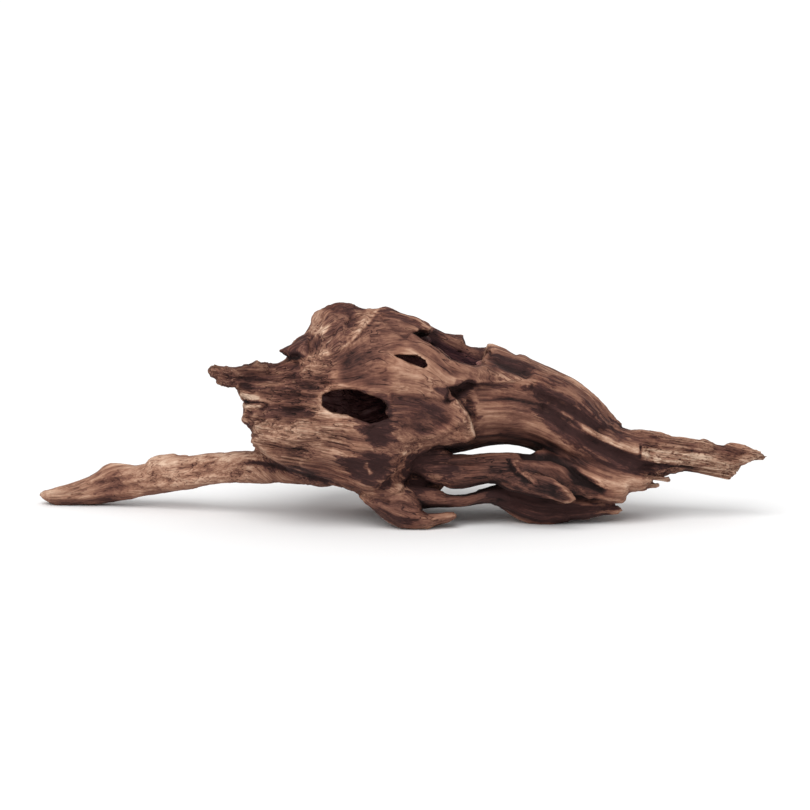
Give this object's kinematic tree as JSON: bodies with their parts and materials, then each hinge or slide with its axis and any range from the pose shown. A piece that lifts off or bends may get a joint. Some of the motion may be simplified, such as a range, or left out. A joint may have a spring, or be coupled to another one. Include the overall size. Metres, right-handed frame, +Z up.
{
  "type": "hollow driftwood root",
  "caption": "Weathered hollow driftwood root with a thin side branch, open holes and split, twisted strands; rests on its own feet as a hide or ornament.",
  "frame": {"origin": "under the middle of the box in plan, at the height of the ground that the root rests on", "axes": "+X along the root from the tip of the thin branch to the pointed tip, +Y from the side with the large hole to the back, +Z up"},
  "size_m": [0.4781, 0.1285, 0.1467],
  "materials": {
    "wood": "dry, matte and weathered, with open grain and dark stains"
  },
  "bodies": {
    "root": {"driftwood": "wood"}
  },
  "joints": []
}
